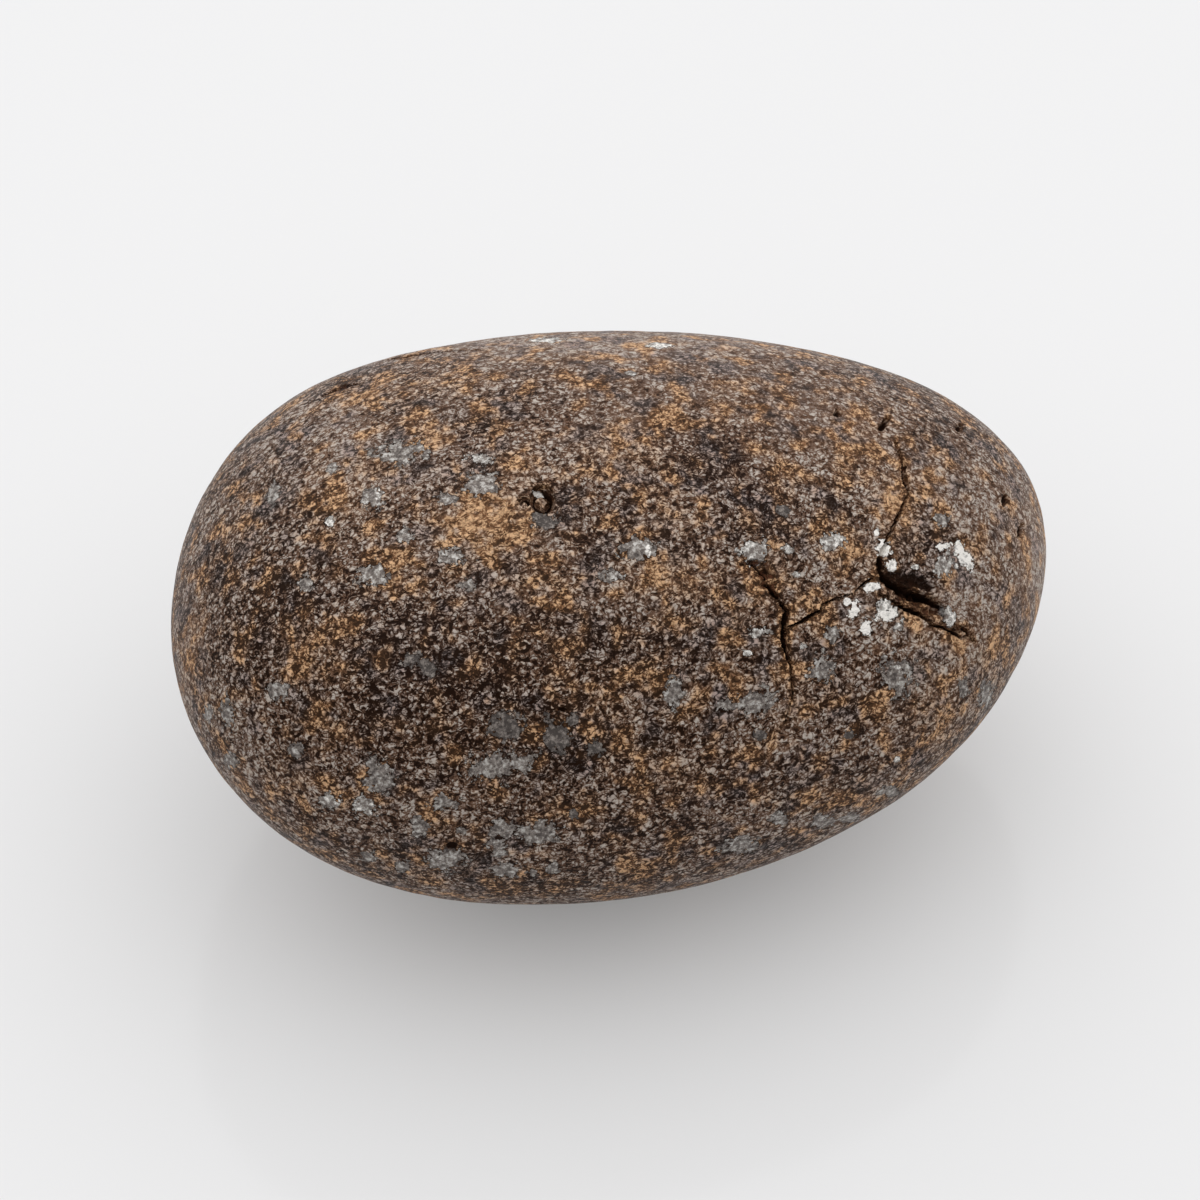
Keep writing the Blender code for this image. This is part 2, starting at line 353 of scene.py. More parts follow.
# Form of a pit with its painted shade inside, of a broken piece and of the bead in the round pit; the piece
# and the bead keep out most of that painted shade.
PIT_RAGGEDNESS = 0.9
PIT_DARKENING = 2.2
PIT_DARKNESS = 0.95
PIT_RUST = 0.45
PIT_RUST_FALL = 2.0
CHUNK_RAGGEDNESS = 1.6
CHUNK_STEEPNESS = 3
CHUNK_SHADE_CUT = 0.85
BEAD_SHADE_CUT = 0.8
BEAD_SPREAD = 1.5

# A fleck brighter than this lies over a crack and keeps little of its darkness.
OVERLYING_FLECK = 0.9
OVERLAID_CRACK = 0.1

# How much slate, rust and the cracks' lining darken (+) or lighten (-) the grain, and two upper limits: of
# the rust patches and of the painted sheen.
SLATE_SHADE = 0.12
RUST_SHADE = -0.08
LINING_SHADE = 0.07
PATCH_RUST = 0.85
MOST_PAINTED_SHEEN = 0.4

# Patterns of the grain, as shares of the grain size.
FABRIC_STRETCH = (0.72, 1.0, 1.0)
SWIRL_SIZE = 1.25
CRUMB_SIZE = 0.75
GAP_SIZE = 0.9
OUTLINE_SIZE = 1.15
WARP_REACH = 2.2

# Weights of those patterns in the grain's tone, and the tones of the five grain colours.
STRAND_WEIGHT = 0.4
CRUMB_WEIGHT = 0.4
CELL_WEIGHT = 0.3
CLOUD_WEIGHT = 0.28
TONE_DROP = 0.066
MIDDLE_TONE = 0.45
TONE_STOPS = (0.18, 0.34, 0.47, 0.60, 0.80)

# Sizes of the other patterns in the skin, in metres.
CLOUD_SIZE = 0.003
BREAK_SIZE = 0.0007
RUST_CLOUD_SIZE = 0.0014
SLATE_CLOUD_SIZE = 0.0017
LOBE_SIZE = 0.0005
TATTER_SIZE = 0.00018
MOTTLE_SIZE = 0.00028
CRUST_SIZE = 0.00025

# Range of each grain's random value in which it is a rusted or a slate grain, and how strong it gets.
RUST_GRAINS = (0.74, 0.86, 0.12)
SLATE_GRAINS = (0.84, 0.94, 0.2)
CLOUD_EDGE = (0.47, 0.68)

# Flecks: how uneven the metal is, how dark the rim is and how much of it is metal.
MOTTLE = 0.42
RIM_DARKNESS = 0.95
METAL_SHARE = 0.35

# Cosines of the angle to the soft light between which it fades in.
LIGHT_EDGE = (0.05, 0.65)
SENSOR_WIDTH = 36.0


class StoneShape(PropertyGroup):
    semi_axes: FloatVectorProperty(
        name="Half sizes", description="Half length, width and height of the stone before its swells",
        size=3, default=(0.0229, 0.0158, 0.01345), subtype="XYZ", unit="LENGTH",
    )
    half_length: FloatProperty(
        name="Half length", description="Distance over which the taper runs",
        default=0.0225, unit="LENGTH",
    )
    taper: FloatProperty(
        name="Taper", description="How much slimmer the slim end is", default=0.08, subtype="FACTOR",
    )
    rest_cut: FloatProperty(
        name="Rest cut", description="Height taken off the underside for its flat",
        default=0.00035, unit="LENGTH",
    )
    subdivisions: IntProperty(
        name="Subdivisions", description="Fineness of the sphere that the stone starts from", default=7,
    )
    ripple: FloatProperty(
        name="Ripple", description="Height of the soft waves on the worn skin",
        default=0.00007, unit="LENGTH",
    )
    grit: FloatProperty(
        name="Grit", description="Height of the fine pitting on the worn skin",
        default=0.000022, unit="LENGTH",
    )


class StoneFinish(PropertyGroup):
    grain_size: FloatProperty(
        name="Grain size", description="Width of the mineral grains", default=0.00036, unit="LENGTH",
    )
    grain_relief: FloatProperty(
        name="Grain relief", description="Height of the crumbs over the gaps between them",
        default=0.0001, unit="LENGTH",
    )
    black_grain: FloatVectorProperty(
        name="Black grain", description="Colour of the dark gaps between grains",
        size=3, default=(0.013, 0.0045, 0.0015), subtype="COLOR",
    )
    dark_grain: FloatVectorProperty(
        name="Dark grain", description="Colour of the darker brown grains",
        size=3, default=(0.110, 0.057, 0.034), subtype="COLOR",
    )
    brown_grain: FloatVectorProperty(
        name="Brown grain", description="Colour of the main grains",
        size=3, default=(0.187, 0.118, 0.085), subtype="COLOR",
    )
    pale_grain: FloatVectorProperty(
        name="Pale grain", description="Colour of the paler brown grains",
        size=3, default=(0.314, 0.236, 0.190), subtype="COLOR",
    )
    tan_grain: FloatVectorProperty(
        name="Tan grain", description="Colour of the palest grains",
        size=3, default=(0.55, 0.485, 0.43), subtype="COLOR",
    )
    rust_grain: FloatVectorProperty(
        name="Rust grain", description="Colour of the rusted grains",
        size=3, default=(0.25, 0.120, 0.056), subtype="COLOR",
    )
    ochre_grain: FloatVectorProperty(
        name="Ochre grain", description="Colour of the palest rusted grains",
        size=3, default=(0.76, 0.465, 0.26), subtype="COLOR",
    )
    slate_grain: FloatVectorProperty(
        name="Slate grain", description="Colour of the grey-blue grains",
        size=3, default=(0.105, 0.080, 0.072), subtype="COLOR",
    )
    crust: FloatVectorProperty(
        name="Crust", description="Colour of the rust inside the cracks",
        size=3, default=(0.13, 0.048, 0.024), subtype="COLOR",
    )
    dull_metal: FloatVectorProperty(
        name="Dull metal", description="Colour of the tarnished flecks",
        size=3, default=(0.14, 0.120, 0.110), subtype="COLOR",
    )
    grey_metal: FloatVectorProperty(
        name="Grey metal", description="Colour of the common grey flecks",
        size=3, default=(0.27, 0.235, 0.210), subtype="COLOR",
    )
    # Near white: the polished metal with its glint painted into the colour.
    bright_metal_and_glint: FloatVectorProperty(
        name="Bright metal", description="Colour of the polished flecks",
        size=3, default=(0.95, 0.91, 0.86), subtype="COLOR",
    )
    roughness: FloatProperty(
        name="Roughness", description="Roughness of the worn skin", default=0.45, subtype="FACTOR",
    )
    polish: FloatProperty(
        name="Polish", description="Weight of the thin polish over the grains",
        default=0.03, subtype="FACTOR",
    )


class StageSettings(PropertyGroup):
    eye_distance: FloatProperty(
        name="Camera distance", description="From the sketch plane to the camera",
        default=0.338, unit="LENGTH",
    )
    floor_size: FloatProperty(
        name="Floor size", description="Side of the square table top", default=4.0, unit="LENGTH",
    )
    floor_colour: FloatVectorProperty(
        name="Floor colour", description="Colour of the table top",
        size=3, default=(0.615, 0.615, 0.62), subtype="COLOR",
    )
    floor_glow: FloatProperty(
        name="Floor glow", description="Light that the table top gives off, as a lit sweep does",
        default=0.2,
    )
    floor_roughness: FloatProperty(
        name="Floor roughness", description="Roughness of the table top", default=0.12, subtype="FACTOR",
    )
    floor_shine: FloatProperty(
        name="Floor shine", description="Strength of the reflections in the table top",
        default=0.22, subtype="FACTOR",
    )
    light_heading: FloatProperty(
        name="Light heading", description="Where the soft light stands, in degrees from +X", default=72.0,
    )
    light_rise: FloatProperty(
        name="Light rise", description="How high the soft light stands, in degrees", default=73.0,
    )
    light_strength: FloatProperty(
        name="Light strength", description="Brightness in the middle of the soft light", default=1.30,
    )
    room_strength: FloatProperty(
        name="Room strength", description="Brightness of the rest of the room", default=0.16,
    )


def direction_of(heading, rise):
    """Unit vector for a heading and a rise in degrees."""
    turn, lift = math.radians(heading), math.radians(rise)
    return Vector((math.cos(lift) * math.cos(turn), math.cos(lift) * math.sin(turn), math.sin(lift)))


def sketch_axes():
    """Right, up and towards-the-eye directions of the sketch plane."""
    towards = direction_of(SKETCH_TURN - 90, SKETCH_RISE)
    right = direction_of(SKETCH_TURN, 0)
    return right, towards.cross(right), towards


def stone_points(directions, shape):
    """Points of the stone's skin, in metres, for an array of unit directions."""
    axes = np.array(shape.semi_axes)
    reach = 1 / np.sqrt(((directions / axes) ** 2).sum(axis=1))
    for heading, rise, height, spread in SWELLS.values():
        closeness = directions @ np.array(direction_of(heading, rise)) - 1
        reach += height * MM * np.exp(closeness / math.radians(spread) ** 2)
    points = directions * reach[:, None]
    slim = 1 - shape.taper * points[:, 0] / shape.half_length
    points[:, 1] *= slim
    points[:, 2] *= slim
    low, high = points.min(axis=0), points.max(axis=0)
    middle = (low + high) / 2
    return points - np.array((middle[0], middle[1], low[2] + shape.rest_cut))


def sketch_places(points, eye_distance):
    """Where the eye sees each point on the sketch plane, in mm, and each point's direction to the eye."""
    right, upward, towards = (np.array(axis) for axis in sketch_axes())
    eye = np.array(SKETCH_MIDDLE) * MM + towards * eye_distance
    rays = points - eye
    depth = -(rays @ towards)
    scale = eye_distance / MM / depth
    to_eye = -rays / np.linalg.norm(rays, axis=1)[:, None]
    return np.stack([(rays @ right) * scale, (rays @ upward) * scale], axis=1), to_eye


def crack_reach(places, stations):
    """Distance to a crack's middle line and the crack's half width there, in mm."""
    nearest = np.full(len(places), FAR_AWAY)
    half_width = np.zeros(len(places))
    for (x0, y0, w0), (x1, y1, w1) in zip(stations, stations[1:]):
        start, step = np.array((x0, y0)), np.array((x1 - x0, y1 - y0))
        share = np.clip((places - start) @ step / (step @ step), 0, 1)
        distance = np.linalg.norm(places - start - share[:, None] * step, axis=1)
        closer = distance < nearest
        nearest = np.where(closer, distance, nearest)
        half_width = np.where(closer, (w0 + (w1 - w0) * share) / 2, half_width)
    return nearest, half_width


def coordinates(mesh):
    values = np.empty(len(mesh.vertices) * 3)
    mesh.vertices.foreach_get("co", values)
    return values.reshape(-1, 3)


def unit(vectors):
    return vectors / np.linalg.norm(vectors, axis=1)[:, None]


def skin_normals(points, shape):
    """Outward directions of the unbroken skin, near enough for placing marks."""
    centred = points - (points.min(axis=0) + points.max(axis=0)) / 2
    return unit(centred / np.array(shape.semi_axes) ** 2)


def all_flecks():
    for group, brightness in FLECK_GROUPS:
        for fleck in group:
            yield fleck, brightness


def px_to_mm(x, y):
    return (x - PHOTO_MIDDLE_PX) / PX_PER_MM, (PHOTO_MIDDLE_PX - y) / PX_PER_MM


def closeness_to_marks(places, facing):
    """Distance in mm from each place to the nearest crack, pit or fleck outline that the eye sees."""
    cracks = np.full(len(places), FAR_AWAY)
    for stations, _, _, _ in CRACKS.values():
        distance, half_width = crack_reach(places, stations)
        cracks = np.minimum(cracks, distance - half_width)
    for across, up, width, height, _, _ in PITS.values():
        distance = np.linalg.norm(places - (across, up), axis=1) - max(width, height) / 2
        cracks = np.minimum(cracks, distance)
    flecks = np.full(len(places), FAR_AWAY)
    for (x, y, width, height), _ in all_flecks():
        distance = np.linalg.norm(places - px_to_mm(x, y), axis=1) - max(width, height) / 2 / PX_PER_MM
        flecks = np.minimum(flecks, distance)
    away = ~facing
    cracks[away] = FAR_AWAY
    flecks[away] = FAR_AWAY
    return cracks, flecks


def refine(stone, shape, eye_distance, crack_margin, fleck_margin):
    """Splits the sphere's faces where a mark will lie, in edit mode."""
    directions = unit(coordinates(stone.data))
    points = stone_points(directions, shape)
    places, to_eye = sketch_places(points, eye_distance)
    facing = (skin_normals(points, shape) * to_eye).sum(axis=1) > 0
    cracks, flecks = closeness_to_marks(places, facing)
    wanted = (cracks < crack_margin) | (flecks < fleck_margin)
    bpy.ops.object.mode_set(mode="EDIT")
    bpy.ops.mesh.select_mode(type="FACE")
    bpy.ops.mesh.select_all(action="DESELECT")
    bpy.ops.object.mode_set(mode="OBJECT")
    for face in stone.data.polygons:
        face.select = all(wanted[i] for i in face.vertices)
    bpy.ops.object.mode_set(mode="EDIT")
    bpy.ops.mesh.subdivide(number_cuts=1)
    bpy.ops.mesh.select_all(action="SELECT")
    bpy.ops.mesh.quads_convert_to_tris()
    bpy.ops.object.mode_set(mode="OBJECT")


def waves(points, size, seed):
    """Smooth noise from -1 to 1 whose waves are about size metres long."""
    shift = Vector((seed, seed * 1.7, seed * 0.3))
    return np.array([noise.noise(Vector(p) / size + shift) for p in points])


def layered_waves(points, layers):
    """Sum of several layers of waves, each with its length in metres, seed and share."""
    return sum(waves(points, size, seed) * share for size, seed, share in layers)


def crack_form(spots, ragged, crumbs, crack):
    """A crack's sunk depth in mm, its painted shade and its rust lining at each spot on the sketch plane."""
    stations, deep, darkness, rusty = crack
    distance, half_width = crack_reach(spots, stations)
    edge = half_width * (1 + ragged * EDGE_RAGGEDNESS) + ragged * EDGE_JITTER
    into = np.clip(1 - distance / np.maximum(edge, LEAST_EDGE), 0, 1)
    sunk = into**FLOOR_BLUNTNESS * deep * np.clip(1 - crumbs * FLOOR_ROUGHNESS, *FLOOR_RANGE)
    dark = np.clip(into * CRACK_DARKENING, 0, 1) * darkness
    beyond = np.maximum(distance - half_width, 0) / (LINING_WIDTH + half_width * LINING_SHARE)
    return sunk, dark, np.exp(-beyond**LINING_FALL) * rusty


def pit_form(spots, ragged, pit):
    """A pit's sunk depth in mm, its painted shade and its rust rim at each spot on the sketch plane."""
    across, up, width, height, deep, turn = pit
    cosine, sine = math.cos(math.radians(turn)), math.sin(math.radians(turn))
    x, y = spots[:, 0] - across, spots[:, 1] - up
    radius = np.hypot((x * cosine - y * sine) / (width / 2), (x * sine + y * cosine) / (height / 2))
    into = np.clip(1 - (radius * (1 - ragged * PIT_RAGGEDNESS)) ** 2, 0, 1)
    dark = np.clip(into * PIT_DARKENING, 0, 1) * PIT_DARKNESS
    return into**0.5 * deep, dark, np.exp(-np.maximum(radius - 1, 0) * PIT_RUST_FALL) * PIT_RUST


def mark_depths(points, places, facing):
    """How deep each vertex sinks for cracks and pits, in metres, and how much painted crack shade and rust
    it shows.
    """
    depth, inside, rust = (np.zeros(len(points)) for _ in range(3))
    here = np.flatnonzero(facing & (closeness_to_marks(places, facing)[0] < MARK_REACH))
    spots = places[here]
    ragged = layered_waves(points[here], RAGGED_WAVES)
    crumbs = layered_waves(points[here], CRUMB_WAVES)
    forms = [crack_form(spots, ragged, crumbs, crack) for crack in CRACKS.values()]
    forms += [pit_form(spots, ragged, pit) for pit in PITS.values()]
    for sunk, dark, lining in forms:
        depth[here] = np.maximum(depth[here], sunk * MM)
        inside[here] = np.maximum(inside[here], dark)
        rust[here] = np.maximum(rust[here], lining)
    for x, y, width, height, sunk in CHUNKS:
        offset = (spots - px_to_mm(x, y)) * (2 * PX_PER_MM / width, 2 * PX_PER_MM / height)
        radius = np.linalg.norm(offset, axis=1) * (1 + ragged * CHUNK_RAGGEDNESS)
        chunk = np.clip((1 - radius) * CHUNK_STEEPNESS, 0, 1)
        depth[here] += chunk * (np.minimum(depth[here], sunk * MM) - depth[here])
        inside[here] *= 1 - chunk * CHUNK_SHADE_CUT
    across, up, width, height = PIT_BEAD
    radius = np.hypot(spots[:, 0] - across, spots[:, 1] - up) / width
    bead = np.clip(1 - radius**2, 0, 1) ** 0.5
    depth[here] -= bead * height * MM
    inside[here] *= 1 - np.clip(bead * BEAD_SPREAD, 0, 1) * BEAD_SHADE_CUT
    return depth, inside, rust


def spot_axes(x, y, width, height, points, places, facing):
    """Middle of a spot on the skin and its two scaled axes, for a spot given in photo pixels."""
    right, upward, _ = (np.array(axis) for axis in sketch_axes())
    distance = np.linalg.norm(places - px_to_mm(x, y), axis=1)
    distance[~facing] = FAR_AWAY
    middle = points[int(distance.argmin())]
    half_width, half_height = width / 2 / PX_PER_MM * MM, height / 2 / PX_PER_MM * MM
    return middle, right / half_width, upward / half_height


def far_spots(count, small, large, draw, points, normals, hidden):
    """Spots scattered on the hidden skin: the middle and the two scaled axes of each."""
    candidates = np.flatnonzero(hidden)
    for _ in range(count):
        index = int(candidates[draw.randrange(len(candidates))])
        half = draw.uniform(small, large) / 2 * MM
        slim = draw.uniform(FAR_SLIMMEST, 1.0)
        side = Vector(normals[index]).orthogonal().normalized()
        side.rotate(Matrix.Rotation(draw.uniform(0, math.tau), 3, Vector(normals[index])))
        other = Vector(normals[index]).cross(side)
        yield points[index], np.array(side) / half, np.array(other) / (half * slim)


def spot_radius(points, spot):
    """1 on a spot's outline, less inside, more outside, and far where another side of the stone is."""
    middle, first, second = spot
    offset = points - middle
    radius = np.hypot(offset @ first, offset @ second)
    reach = 1 / min(np.linalg.norm(first), np.linalg.norm(second))
    radius[np.linalg.norm(offset, axis=1) > reach * SPOT_REACH] = FAR_AWAY
    return radius


def soft_spot(points, spot):
    """1 in a spot's middle, fading out around its outline."""
    return np.exp(-((spot_radius(points, spot) / SPOT_SPREAD) ** 2))


def fleck_values(points, places, normals, facing, draw):
    """Per vertex: 1 in a fleck's middle, 0 on its outline and less outside, and that fleck's brightness."""
    edge = np.full(len(points), -1.5)
    bright = np.zeros(len(points))
    spots = []
    for (x, y, width, height), brightness in all_flecks():
        spots.append((spot_axes(x, y, width, height, points, places, facing), brightness))
    for spot in far_spots(FAR_FLECKS, *FAR_FLECK_SIZES, draw, points, normals, ~facing):
        spots.append((spot, draw.choice(FAR_FLECK_BRIGHTNESS)))
    for spot, brightness in spots:
        inward = 1 - spot_radius(points, spot)
        closer = inward > edge
        edge = np.where(closer, inward, edge)
        bright = np.where(closer, brightness, bright)
    return edge, bright


def patch_values(points, places, normals, facing, patches, draw):
    """Soft patches of one colour, from 0 to 1 per vertex."""
    value = np.zeros(len(points))
    spots = []
    for x, y, width, height, strength in patches:
        spots.append((spot_axes(x, y, width, height, points, places, facing), strength))
    for spot in far_spots(FAR_PATCHES, *FAR_PATCH_SIZES, draw, points, normals, ~facing):
        spots.append((spot, draw.uniform(*FAR_PATCH_STRENGTH)))
    for spot, strength in spots:
        value = np.maximum(value, strength * soft_spot(points, spot))
    return value


def skin_stretches(points, places, facing, stretches):
    """Sum of the soft stretches of one kind at each vertex."""
    value = np.zeros(len(points))
    for x, y, width, height, strength in stretches:
        spot = spot_axes(x, y, width, height, points, places, facing)
        value += strength * soft_spot(points, spot)
    return value


def write_attribute(mesh, name, values):
    made = mesh.attributes.new(name, "FLOAT", "POINT")
    made.data.foreach_set("value", np.ascontiguousarray(values, np.float32))


def add_node(tree, kind, sockets=None, **settings):
    """A node with its settings, and its sockets joined or set."""
    made = tree.nodes.new(kind)
    for name, value in settings.items():
        setattr(made, name, value)
    for name, value in (sockets or {}).items():
        if isinstance(value, bpy.types.NodeSocket):
            tree.links.new(value, made.inputs[name])
        else:
            made.inputs[name].default_value = value
    return made


def maths(tree, operation, first, second=0.0, third=0.0, clamp=False):
    values = {0: first, 1: second}
    if operation == "MULTIPLY_ADD":
        values[2] = third
    return add_node(tree, "ShaderNodeMath", values, operation=operation, use_clamp=clamp).outputs[0]


def blended(tree, factor, first, second, kind="MIX"):
    sockets = {"Fac": factor, "Color1": first, "Color2": second}
    return add_node(tree, "ShaderNodeMixRGB", sockets, blend_type=kind).outputs["Color"]


def smooth_step(tree, value, low, high, to_low=0.0, to_high=1.0):
    sockets = {"Value": value, "From Min": low, "From Max": high, "To Min": to_low, "To Max": to_high}
    return add_node(tree, "ShaderNodeMapRange", sockets, interpolation_type="SMOOTHSTEP").outputs["Result"]


def noise_value(tree, vector, size, detail, roughness, distortion=0.0):
    sockets = {
        "Vector": vector, "Scale": 1 / size, "Detail": detail, "Roughness": roughness,
        "Distortion": distortion,
    }
    return add_node(tree, "ShaderNodeTexNoise", sockets).outputs["Fac"]


def ramp(tree, factor, stops):
    made = add_node(tree, "ShaderNodeValToRGB", {"Fac": factor})
    elements = made.color_ramp.elements
    while len(elements) < len(stops):
        elements.new(0.5)
    for element, (position, colour) in zip(elements, stops):
        element.position = position
        element.color = (*colour, 1.0)
    return made.outputs["Color"]


def scaled(colour, share):
    return tuple(channel * share for channel in colour)


def attribute(tree, name):
    return add_node(tree, "ShaderNodeAttribute", attribute_name=name).outputs["Fac"]


def grain_ramp(tree, tone, colours):
    """One family of grain colours, from the dark gaps to the palest crumbs."""
    return ramp(tree, tone, tuple(zip(TONE_STOPS, colours)))


def grain_tone(tree, place, size):
    """How light the grain is at each place, and the random values of each grain."""
    fabric = add_node(
        tree, "ShaderNodeVectorMath", {0: place, 1: FABRIC_STRETCH}, operation="MULTIPLY",
    ).outputs["Vector"]
    swirl = noise_value(tree, fabric, size * SWIRL_SIZE, 2.0, 0.55, 1.2)
    strands = maths(tree, "ABSOLUTE", maths(tree, "SUBTRACT", swirl, 0.5))
    strands = smooth_step(tree, strands, 0.0, 0.11, 1.0, 0.0)
    crumbs = smooth_step(tree, noise_value(tree, place, size * CRUMB_SIZE, 1.0, 0.5, 0.6), 0.3, 0.7)
    tone = maths(tree, "MULTIPLY_ADD", crumbs, CRUMB_WEIGHT, maths(tree, "MULTIPLY", strands, STRAND_WEIGHT))

    warp = add_node(tree, "ShaderNodeTexNoise", {"Vector": place, "Scale": 1 / size, "Detail": 2.0})
    warped = add_node(
        tree, "ShaderNodeVectorMath",
        {0: warp.outputs["Color"], 1: (size * WARP_REACH,) * 3, 2: place}, operation="MULTIPLY_ADD",
    ).outputs["Vector"]
    cells = add_node(tree, "ShaderNodeTexVoronoi", {"Vector": warped, "Scale": 1 / size})
    grain = add_node(tree, "ShaderNodeSeparateColor", {"Color": cells.outputs["Color"]}).outputs
    tone = maths(tree, "MULTIPLY_ADD", grain["Red"], CELL_WEIGHT, tone)

    gaps = noise_value(tree, fabric, size * GAP_SIZE, 3.0, 0.65, 0.8)
    gaps = smooth_step(tree, gaps, 0.33, 0.48, 0.2, 1.0)
    outlines = add_node(
        tree, "ShaderNodeTexVoronoi", {"Vector": warped, "Scale": 1 / (size * OUTLINE_SIZE)},
        feature="DISTANCE_TO_EDGE",
    ).outputs["Distance"]
    outlines = smooth_step(tree, outlines, 0.02, 0.2, 0.5, 1.12)
    tone = maths(tree, "MULTIPLY", maths(tree, "MULTIPLY", tone, gaps), outlines)

    cloud = noise_value(tree, place, CLOUD_SIZE, 3.0, 0.6)
    tone = maths(tree, "MULTIPLY_ADD", cloud, CLOUD_WEIGHT, maths(tree, "SUBTRACT", tone, TONE_DROP))
    # The "shade" attribute darkens or lightens the grain: the stone's own tone, rust and slate, with painted
    # sheen, painted rim highlights and painted shade.
    tone = maths(tree, "SUBTRACT", tone, attribute(tree, "shade"))
    # Painted sheen: the "worn" attribute flattens the grain towards a middle tone.
    to_middle = maths(tree, "SUBTRACT", MIDDLE_TONE, tone)
    return maths(tree, "MULTIPLY_ADD", attribute(tree, "worn"), to_middle, tone), grain


def tint_share(tree, place, name, cloud_size, grain, grains):
    """How far a place takes on the rust or slate colours: clouds, single grains and placed patches."""
    low, high, strength = grains
    clouds = smooth_step(tree, noise_value(tree, place, cloud_size, 2.0, 0.5), *CLOUD_EDGE)
    single = smooth_step(tree, grain, low, high, 0.0, strength)
    breaks = smooth_step(tree, noise_value(tree, place, BREAK_SIZE, 2.0, 0.55), 0.35, 0.65, 0.5, 1.5)
    patches = maths(tree, "MULTIPLY", attribute(tree, name), breaks)
    return maths(tree, "ADD", maths(tree, "MAXIMUM", clouds, single), patches, clamp=True)


def grain_colour(tree, place, tone, grain, finish):
    """Brown grain with its rusted and slate stretches."""
    brown = grain_ramp(tree, tone, (
        finish.black_grain, finish.dark_grain, finish.brown_grain, finish.pale_grain, finish.tan_grain,
    ))
    rusted = grain_ramp(tree, tone, (
        scaled(finish.rust_grain, 0.16), scaled(finish.rust_grain, 0.42), finish.rust_grain,
        scaled(finish.ochre_grain, 0.58), finish.ochre_grain,
    ))
    slated = grain_ramp(tree, tone, (
        finish.black_grain, scaled(finish.slate_grain, 0.4), finish.slate_grain,
        scaled(finish.slate_grain, 1.7), scaled(finish.slate_grain, 4.0),
    ))
    slate = tint_share(tree, place, "slate", SLATE_CLOUD_SIZE, grain["Blue"], SLATE_GRAINS)
    rust = tint_share(tree, place, "rust", RUST_CLOUD_SIZE, grain["Green"], RUST_GRAINS)
    return blended(tree, rust, blended(tree, slate, brown, slated), rusted)


def with_flecks(tree, place, colour, finish):
    """The skin's colour with its metal flecks, where a fleck lies, and how uneven it is there."""
    lobes = maths(tree, "MULTIPLY_ADD", noise_value(tree, place, LOBE_SIZE, 2.0, 0.6), 2.8, -1.45)
    tatters = maths(tree, "MULTIPLY_ADD", noise_value(tree, place, TATTER_SIZE, 3.0, 0.7), 2.2, -1.1)
    edge = maths(tree, "ADD", attribute(tree, "fleck"), maths(tree, "ADD", lobes, tatters))
    fleck = smooth_step(tree, edge, -0.04, 0.06)
    rim = smooth_step(tree, edge, -0.28, -0.02)
    mottle = smooth_step(tree, noise_value(tree, place, MOTTLE_SIZE, 3.0, 0.75), 0.3, 0.7, -MOTTLE, MOTTLE)
    shine = maths(tree, "ADD", attribute(tree, "fleck_bright"), mottle, clamp=True)
    # The brightest flecks reach near-white colour, a painted glint.
    metal = ramp(tree, shine, (
        (0.0, scaled(finish.dull_metal, 0.6)),
        (0.15, finish.dull_metal),
        (0.45, finish.grey_metal),
        (0.75, scaled(finish.bright_metal_and_glint, 0.55)),
        (1.0, finish.bright_metal_and_glint),
    ))
    dark = (*finish.black_grain, 1.0)
    rimmed = blended(tree, maths(tree, "MULTIPLY", rim, RIM_DARKNESS), colour, dark)
    return blended(tree, fleck, rimmed, metal), fleck, mottle


def with_cracks(tree, place, colour, crack, finish):
    """The skin's colour with its cracks: dimmed by painted shade and crusted with rust at the edge, painted
    black as shade in the depth.
    """
    crusts = smooth_step(tree, noise_value(tree, place, CRUST_SIZE, 3.0, 0.7), 0.4, 0.65)
    crusted = maths(tree, "MULTIPLY", crusts, attribute(tree, "rust"))
    # Painted shade: the crack walls are dimmed and the depth is black.
    dimmed = blended(tree, 1.0, colour, (0.32, 0.30, 0.30, 1.0), "MULTIPLY")
    lined = blended(tree, crusted, dimmed, (*finish.crust, 1.0))
    hollow = blended(tree, smooth_step(tree, crack, 0.78, 0.96), lined, (*finish.black_grain, 1.0))
    return blended(tree, smooth_step(tree, crack, 0.05, 0.9), colour, hollow)


